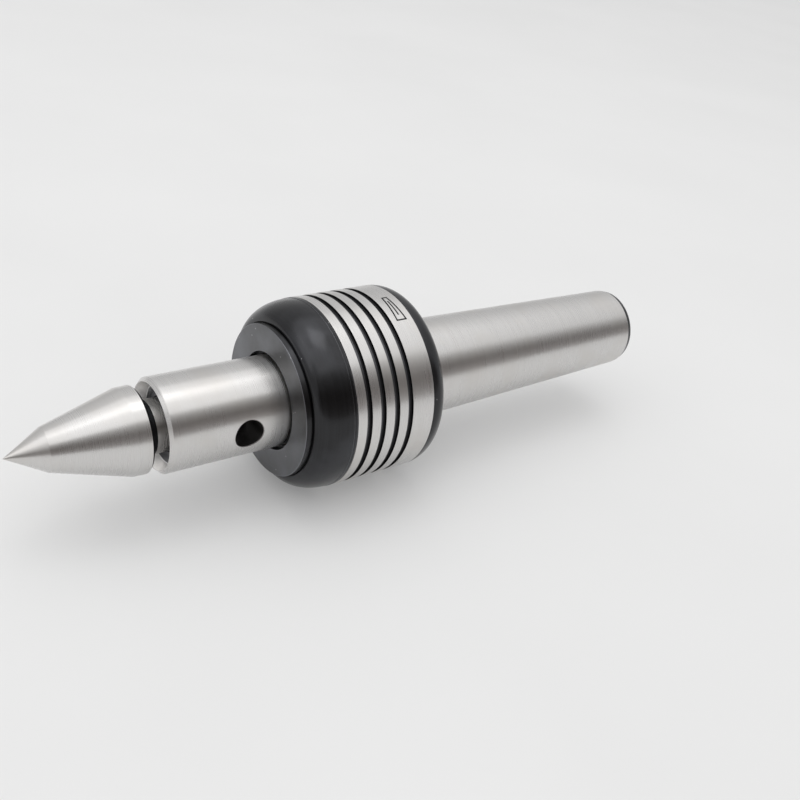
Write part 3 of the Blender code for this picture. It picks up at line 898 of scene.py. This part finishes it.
def spindle_outline():
    """The spindle from its socket round the nose to the threaded tail."""
    nose_front, tail = span("spindle")[:2]
    outline = [
        # The socket is dark steel: painted shade.
        corner(SOCKET_END + SOCKET_CONE_DEPTH, 0, 0.0, "bore"),
        corner(SOCKET_END, SOCKET_RADIUS, 0.3),
        # The recess floor is dark black: painted shade inside the recess.
        corner(RECESS_FLOOR, SOCKET_RADIUS, 0.4, "groove"),
        corner(RECESS_FLOOR, RECESS_FLOOR_RADIUS, 0.2, "recess"),
        corner(nose_front, RECESS_MOUTH_RADIUS, 0.15, "ground"),
        corner(nose_front, NOSE_RADIUS - NOSE_CHAMFER, 0.1, "ground"),
        corner(nose_front + NOSE_CHAMFER, NOSE_RADIUS, 0.15, "ground"),
        corner(HOLE_STATION - 1.6 * HOLE_RADIUS, NOSE_RADIUS, SMOOTH),
        corner(NOSE_REAR, NOSE_RADIUS, 0.3, "machined"),
        corner(NOSE_REAR, FRONT_SEAT_RADIUS, 0.3, "ground"),
        corner(FRONT_SEAT_REAR, FRONT_SEAT_RADIUS, 0.3),
        corner(FRONT_SEAT_REAR, THRUST_SEAT_RADIUS, 0.3),
        corner(THRUST_SEAT_REAR, THRUST_SEAT_RADIUS, 0.3),
        corner(THRUST_SEAT_REAR, REAR_LAND_RADIUS, 0.3),
        corner(REAR_LAND_REAR, REAR_LAND_RADIUS, 0.3),
        corner(REAR_LAND_REAR, REAR_SEAT_RADIUS, 0.3),
        corner(THREAD_FRONT - THREAD_RUNOUT, REAR_SEAT_RADIUS, 0.2),
        corner(THREAD_FRONT, THREAD_RADIUS, 0.1, "machined"),
    ]
    outline += thread(THREAD_FRONT, tail - TAIL_PLAIN, THREAD_RADIUS)
    outline += [
        corner(tail, THREAD_RADIUS - TAIL_CHAMFER, 0.2),
        corner(tail, 0),
    ]
    return outline


def rim_profile():
    """The drift cutter's (radius, depth below the nose's surface), from the wall out."""
    found = []
    for step in range(HOLE_RIM_STEPS + 1):
        angle = 0.5 * math.pi * HOLE_RIM_TURN * step / HOLE_RIM_STEPS
        radius = HOLE_RADIUS + HOLE_RIM * (1 - math.cos(angle))
        found.append((radius, HOLE_RIM * (1 - math.sin(angle))))
    outside = HOLE_RADIUS + 3 * HOLE_RIM
    return found + [(outside, -1.0), (outside, -4.0)]


def cutter_loop(bm, way, radius, below):
    """A ring of the drift cutter that follows the nose's round surface."""
    loop = []
    for k in range(HOLE_SEGMENTS):
        angle = math.tau * k / HOLE_SEGMENTS
        z = radius * math.sin(angle)
        surface = math.sqrt(NOSE_RADIUS ** 2 - z * z)
        place = (HOLE_STATION + radius * math.cos(angle), way * (surface - below), z)
        loop.append(bm.verts.new([value * MM for value in place]))
    return loop


def drift_cutter():
    """A round bar along Y whose ends flare at the nose's surface, so the hole gets a soft rim."""
    bm = bmesh.new()
    walls = []
    for way in (-1, 1):
        loops = [cutter_loop(bm, way, radius, below) for radius, below in rim_profile()]
        for a, b in zip(loops, loops[1:]):
            bridge(bm, a, b)
        bm.faces.new(loops[-1])
        walls.append(loops[0])
    bridge(bm, walls[0], walls[1])
    bmesh.ops.recalc_face_normals(bm, faces=bm.faces)
    # The hole's wall is dark steel: painted shade inside the hole.
    return mesh_of(bm, "drift_cutter", FINISHES["hole"])


def bridge(bm, a, b):
    """A band of quads between two loops of vertices."""
    for k in range(len(a)):
        after = (k + 1) % len(a)
        bm.faces.new((a[k], a[after], b[after], b[k]))


def hole_normal(place):
    """The normal of the drift hole: towards its axis, turning outwards over its soft rim."""
    x, y, z = (value / MM for value in place)
    off = math.hypot(x - HOLE_STATION, z)
    inward = Vector((HOLE_STATION - x, 0, -z)).normalized()
    share = max(0.0, min(1.0, (off - HOLE_RADIUS) / HOLE_RIM))
    angle = math.acos(1 - share)
    surface = Vector((0, y, z)).normalized()
    return (inward * math.cos(angle) + surface * math.sin(angle)).normalized()


def nearest_strip(rings, station, radius):
    """The strip of the outline nearest to a place: its two rings, and the way along it."""
    best, found = 1e9, None
    for first, second in zip(rings, rings[1:]):
        along = Vector((second.station - first.station, second.radius - first.radius))
        size = along.length_squared
        if size < 1e-12:
            continue
        away = Vector((station - first.station, radius - first.radius))
        share = max(0.0, min(1.0, away.dot(along) / size))
        distance = (away - along * share).length
        if distance < best:
            best, found = distance, (first, second, along / size)
    return found


def strip_normal(strip, place):
    """The turned surface's normal at a place on a strip of the outline."""
    first, second, per_length = strip
    across = Vector((0, place.y, place.z))
    away = Vector((place.x / MM - first.station, across.length / MM - first.radius))
    share = max(0.0, min(1.0, away.dot(per_length)))
    normal = first.after * (1 - share) + second.before * share
    across = across.normalized() if across.length > 1e-9 else Vector((0, 0, 1))
    return (Vector((normal.x, 0, 0)) + across * normal.y).normalized()


def reset_normals(mesh, corners, hole_slot):
    """Gives the drilled mesh the exact normals of its turned and drilled surfaces again."""
    rings = rings_of(corners)[0]
    normals = [None] * len(mesh.loops)
    strips = {}
    for face in mesh.polygons:
        drilled = face.material_index == hole_slot
        centre = face.center
        key = (round(centre.x / MM, 3), round(math.hypot(centre.y, centre.z) / MM, 3))
        if not drilled and key not in strips:
            strips[key] = nearest_strip(rings, *key)
        for loop in face.loop_indices:
            place = mesh.vertices[mesh.loops[loop].vertex_index].co
            normals[loop] = hole_normal(place) if drilled else strip_normal(strips[key], place)
    mesh.shade_smooth()
    mesh.normals_split_custom_set(normals)


def spindle():
    """The spindle, turned and then drilled across for the drift key."""
    corners = spindle_outline()
    plain = turned_mesh("spindle_plain", corners, SEGMENTS)
    drilled = subtract(plain, drift_cutter())
    drilled.name = "spindle_fine"
    hole_slot = [slot.name for slot in drilled.materials].index(FINISHES["hole"].name)
    reset_normals(drilled, corners, hole_slot)
    stand_in("spindle", drilled)


def interchangeable_point():
    """The hardened point: 60 degree tip, slim cone, short rim and a round shank."""
    apex, shank_end = span("interchangeable_point")[:2]
    outline = [
        corner(apex, 0, 0.0, "ground"),
        corner(apex + APEX_LENGTH, APEX_RADIUS, 0.0),
        corner(apex + TIP_LENGTH, TIP_REAR_RADIUS, 0.4),
        corner(CONE_REAR, CONE_REAR_RADIUS, 0.6),
        corner(HEAD_REAR - HEAD_EDGE, HEAD_RADIUS, 0.12, "wall", "ground"),
        corner(HEAD_REAR, HEAD_RADIUS - HEAD_EDGE, 0.1, "wall"),
        # The shank's first millimetres behind the head are the darkest black: painted shade cast by
        # the head.
        corner(HEAD_REAR, POINT_SHANK_RADIUS, 0.4, "wall"),
        corner(POINT_SHADE_BAND_REAR, POINT_SHANK_RADIUS, 0.0, "ground"),
        corner(shank_end - POINT_SHANK_CHAMFER, POINT_SHANK_RADIUS, 0.15),
        corner(shank_end, POINT_SHANK_RADIUS - POINT_SHANK_CHAMFER, 0.2, "machined"),
        corner(shank_end, 0),
    ]
    turned("interchangeable_point", outline)


# ---------------------------------------------------------------- bearings and small pieces

def groove_angle(offset, ball):
    """Half the angle of a ball track, in degrees, where it meets a flat land at that offset."""
    return math.degrees(math.acos(abs(offset) / (ball + BALL_GAP)))


def radial_bearing(label, bearing):
    """Deep groove bearing: two races with rounded edges, a drilled brass cage and its balls."""
    front, rear, outside = span(f"{label}_bearing_outer_race")
    middle = 0.5 * (front + rear)
    centre = (middle, bearing["pitch"])
    track = bearing["ball"] + BALL_GAP
    half = groove_angle(bearing["outer_land"] - bearing["pitch"], bearing["ball"])
    outer = [
        corner(front, bearing["outer_land"], RACE_EDGE, "polished"),
        *arc(centre, track, 90 + half, 90 - half, TRACK_STEPS),
        corner(rear, bearing["outer_land"], RACE_EDGE),
        corner(rear, outside, RACE_EDGE),
        corner(front, outside, RACE_EDGE),
    ]
    turned(f"{label}_bearing_outer_race", outer, RING_SEGMENTS)
    half = groove_angle(bearing["pitch"] - bearing["inner_land"], bearing["ball"])
    inner = [
        corner(front, bearing["inner_land"], RACE_EDGE, "polished"),
        *arc(centre, track, 270 - half, 270 + half, TRACK_STEPS),
        corner(rear, bearing["inner_land"], RACE_EDGE),
        corner(rear, bearing["bore"], RACE_EDGE),
        corner(front, bearing["bore"], RACE_EDGE),
    ]
    turned(f"{label}_bearing_inner_race", inner, RING_SEGMENTS)
    node = f"{label}_bearing_cage"
    low, high = bearing["pitch"] - CAGE_HALF_THICKNESS, bearing["pitch"] + CAGE_HALF_THICKNESS
    front, rear = span(node)[:2]
    cage(node, box_outline(front, rear, low, high, CAGE_EDGE), bearing, Matrix.Identity(4), middle)
    balls(f"{label}_bearing_ball", bearing)


def box_outline(front, rear, low, high, edge, finish="brass"):
    """The outline of a plain ring with rounded edges."""
    return [
        corner(front, low, edge, finish),
        corner(rear, low, edge),
        corner(rear, high, edge),
        corner(front, high, edge),
    ]


def cage(node, outline, bearing, tilt, middle):
    """A brass ring with one round pocket for each ball."""
    plain = turned_mesh(node + "_plain", outline, RING_SEGMENTS)
    pockets = bmesh.new()
    radius = (bearing["ball"] + BALL_GAP) * MM
    for i in range(bearing["balls"]):
        turn = Matrix.Rotation(math.tau * i / bearing["balls"], 4, "X")
        place = Matrix.Translation((middle * MM, 0, bearing["pitch"] * MM))
        bmesh.ops.create_cone(
            pockets, cap_ends=True, segments=40, radius1=radius, radius2=radius,
            depth=CAGE_DRILL_DEPTH * MM, matrix=turn @ place @ tilt,
        )
    cutter = mesh_of(pockets, node + "_pockets", FINISHES["brass"])
    stand_in_cut(node, subtract(plain, cutter))


def stand_in_cut(node, mesh):
    """Shows a cut mesh in place of a CAD node, with sharp edges and flat faces shaded flat."""
    mesh.name = node + "_fine"
    mesh.shade_smooth()
    mesh.set_sharp_from_angle(angle=SHARP_ANGLE)
    piece = stand_in(node, mesh)
    shading = piece.modifiers.new("flat_faces", "WEIGHTED_NORMAL")
    shading.keep_sharp = True


def balls(label, bearing):
    """The ring's balls, each on the centre of its CAD node and on one shared mesh."""
    bm = bmesh.new()
    bmesh.ops.create_icosphere(bm, subdivisions=4, radius=bearing["ball"] * MM)
    mesh = mesh_of(bm, label + "_fine", FINISHES["polished"])
    mesh.shade_smooth()
    for i in range(bearing["balls"]):
        node = f"{label}_{i + 1:02d}"
        low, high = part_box(node)
        piece = linked_object(node + "_fine", mesh)
        piece.location = 0.5 * (low + high)
        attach(piece, body_of(node))
        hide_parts(node)


def thrust_bearing():
    """Thrust bearing: a grooved washer either side of a brass cage."""
    front, shaft_face, shaft_outside = span("thrust_shaft_washer")
    housing_face, rear, housing_outside = span("thrust_housing_washer")
    middle = 0.5 * (front + rear)
    pitch, track = THRUST["pitch"], THRUST["ball"] + BALL_GAP
    half = groove_angle(middle - shaft_face, THRUST["ball"])
    shaft = [
        corner(front, THRUST["bore"], RACE_EDGE, "polished"),
        corner(shaft_face, THRUST["bore"], RACE_EDGE),
        *arc((middle, pitch), track, 180 + half, 180 - half, TRACK_STEPS),
        corner(shaft_face, shaft_outside, RACE_EDGE),
        corner(front, shaft_outside, RACE_EDGE),
    ]
    turned("thrust_shaft_washer", shaft, RING_SEGMENTS)
    bore = THRUST["bore"] + 2 * GAP
    half = groove_angle(middle - housing_face, THRUST["ball"])
    housing = [
        corner(rear, bore, RACE_EDGE, "polished"),
        corner(housing_face, bore, RACE_EDGE),
        *arc((middle, pitch), track, -half, half, TRACK_STEPS),
        corner(housing_face, housing_outside, RACE_EDGE),
        corner(rear, housing_outside, RACE_EDGE),
    ]
    turned("thrust_housing_washer", housing, RING_SEGMENTS)
    front, rear, outside = span("thrust_bearing_cage")
    outline = box_outline(front, rear, THRUST_CAGE_INNER, outside, CAGE_EDGE)
    cage("thrust_bearing_cage", outline, THRUST, Matrix.Rotation(0.5 * math.pi, 4, "Y"), middle)
    balls("thrust_bearing_ball", THRUST)


def shaft_seal():
    """Lip seal: a rounded body, a hollow behind, and a thin lip that leans to the nose."""
    front, rear, outside = span("shaft_seal")
    lip = NOSE_RADIUS + GAP
    lip_front = front + SEAL_LIP_SLOPE
    lip_rear = lip_front + SEAL_LIP_WIDTH
    outline = [
        corner(front, outside, 0.5, "rubber"),
        corner(front, lip + SEAL_LIP_HEIGHT, 0.4),
        corner(lip_front, lip, 0.15),
        corner(lip_rear, lip, 0.3),
        corner(lip_rear + SEAL_BACK_SLOPE, lip + SEAL_HOLLOW_HEIGHT, 0.4),
        corner(rear, lip + SEAL_HOLLOW_HEIGHT, 0.3),
        corner(rear, outside, 0.5),
    ]
    turned("shaft_seal", outline, RING_SEGMENTS)


def small_rings():
    """O-ring, disc spring and lock washer."""
    front, rear, outside = span("cap_o_ring")
    radius = 0.5 * (rear - front)
    ring = arc((0.5 * (front + rear), outside - radius), radius, 0, 360, O_RING_STEPS, closed=True)
    ring[0] = ring[0]._replace(finish="rubber")
    turned("cap_o_ring", ring)
    front, rear, outside = span("disc_spring")
    rise = SPRING_RISE * (rear - front)
    disc = [
        corner(front, SPRING_BORE, 0.25, "spring"),
        corner(front + rise, outside, 0.25),
        corner(rear, outside, 0.25),
        corner(rear - rise, SPRING_BORE, 0.25),
    ]
    turned("disc_spring", disc, RING_SEGMENTS)
    front, rear, outside = span("lock_washer")
    washer = box_outline(front, rear, REAR_SEAT_RADIUS + GAP, outside, 0.2, "spring")
    turned("lock_washer", washer, RING_SEGMENTS)


def lock_nut():
    """The slotted round nut, with rounded edges and four spanner slots."""
    front, rear, outside = span("lock_nut")
    outline = [
        corner(front, THREAD_RADIUS + GAP, 0.3, "black"),
        corner(rear, THREAD_RADIUS + GAP, 0.3),
        # The nut's edge rounds are lighter: partly wear, partly a painted highlight.
        corner(rear, outside - NUT_CHAMFER, 0.15, "black", "worn"),
        corner(rear - NUT_CHAMFER, outside, 0.15, "black", "worn"),
        corner(front, outside, 0.3, "black", "worn"),
    ]
    plain = turned_mesh("lock_nut_plain", outline, RING_SEGMENTS)
    slots = bmesh.new()
    size = Matrix.Diagonal([value * MM for value in NUT_SLOT_SIZE] + [1])
    for i in range(NUT_SLOTS):
        turn = Matrix.Rotation(math.tau * (i + 0.5) / NUT_SLOTS, 4, "X")
        place = Matrix.Translation((0.5 * (front + rear) * MM, 0, outside * MM))
        bmesh.ops.create_cube(slots, size=1.0, matrix=turn @ place @ size)
    cutter = mesh_of(slots, "lock_nut_slots", FINISHES["black"])
    stand_in_cut("lock_nut", subtract(plain, cutter))


# ---------------------------------------------------------------- stage

def add_camera():
    """The camera of the photograph."""
    forward = Vector(CAMERA_FORWARD).normalized()
    right = forward.cross(Vector(CAMERA_UP)).normalized()
    up = right.cross(forward)
    data = bpy.data.cameras.new("photo_camera")
    data.lens = CAMERA_LENS
    data.sensor_width = CAMERA_SENSOR
    data.clip_end = CAMERA_REACH
    camera = linked_object("photo_camera", data)
    turn = Matrix((right, up, -forward)).transposed().to_4x4()
    camera.matrix_world = Matrix.Translation(CAMERA_PLACE) @ turn
    bpy.context.scene.camera = camera


def add_floor():
    """The floor touches the barrel from below."""
    bm = bmesh.new()
    bmesh.ops.create_grid(bm, x_segments=1, y_segments=1, size=0.5 * FLOOR_SIZE)
    bmesh.ops.translate(bm, verts=bm.verts, vec=(0, 0, cad_low.z - FLOOR_GAP))
    mesh = mesh_of(bm, "floor", floor_finish("floor_card"))
    linked_object("floor", mesh)


def area_light(name, place, target, size, radiance):
    """A square softbox of an even radiance, aimed at the target."""
    data = bpy.data.lights.new(name, "AREA")
    data.shape = "RECTANGLE"
    data.size = size
    data.size_y = size
    data.energy = radiance * math.pi * size * size
    light = linked_object(name, data)
    light.location = place
    light.rotation_euler = (Vector(target) - Vector(place)).to_track_quat("-Z", "Y").to_euler()


def add_world():
    """A pale room, a little brighter overhead."""
    world = bpy.data.worlds.new("studio")
    world.use_nodes = True
    tree = world.node_tree
    way = add(tree, "ShaderNodeTexCoord").outputs["Generated"]
    height = add(tree, "ShaderNodeSeparateXYZ", {0: way}).outputs[2]
    pale = mixed(tree, ramp(tree, height, 0.1, 0.9), WORLD_LOW, WORLD_HIGH)
    tree.links.new(pale, tree.nodes["Background"].inputs[0])
    bpy.context.scene.world = world


def card_finish():
    """Glows faintly, darkest a quarter of the way up, so that its edges melt into the room."""
    made, tree, shader = new_finish("graded_card")
    place = add(tree, "ShaderNodeTexCoord").outputs["Generated"]
    height = add(tree, "ShaderNodeSeparateXYZ", {0: place}).outputs[2]
    tone = add(tree, "ShaderNodeValToRGB", {0: height})
    stops = tone.color_ramp.elements
    while len(stops) < len(CARD_STOPS):
        stops.new(0.5)
    for stop, (share, colour) in zip(stops, CARD_STOPS):
        stop.position = share
        stop.color = (*colour, 1.0)
    shader["Base Color"].default_value = (0.0, 0.0, 0.0, 1.0)
    shader["Roughness"].default_value = 1.0
    tree.links.new(tone.outputs[0], shader["Emission Color"])
    shader["Emission Strength"].default_value = 1.0
    return made


def add_card():
    """A card that the camera does not see, and that the steel reflects as a dark band."""
    bm = bmesh.new()
    places = [
        (-CARD_HALF_WIDTH, CARD_LOW),
        (CARD_HALF_WIDTH, CARD_LOW),
        (CARD_HALF_WIDTH, CARD_HIGH),
        (-CARD_HALF_WIDTH, CARD_HIGH),
    ]
    bm.faces.new([bm.verts.new((x, CARD_BACK, z)) for x, z in places])
    card = linked_object("graded_card", mesh_of(bm, "graded_card", card_finish()))
    card.visible_camera = False
    card.visible_diffuse = False
    card.visible_shadow = False


def add_stage():
    """Floor, room, card and lights."""
    add_floor()
    add_world()
    add_card()
    area_light("overhead", KEY_PLACE, KEY_TARGET, KEY_SIZE, KEY_RADIANCE)
    area_light("top_box", TOP_PLACE, BOX_TARGET, TOP_SIZE, TOP_RADIANCE)
    area_light("side_box", SIDE_PLACE, BOX_TARGET, SIDE_SIZE, SIDE_RADIANCE)
    bpy.context.scene.view_settings.view_transform = "Standard"


def main():
    add_camera()
    housing_shank()
    front_cap()
    taper_mark()
    spindle()
    interchangeable_point()
    for label, bearing in BEARINGS.items():
        radial_bearing(label, bearing)
    thrust_bearing()
    shaft_seal()
    small_rings()
    lock_nut()
    add_stage()


main()
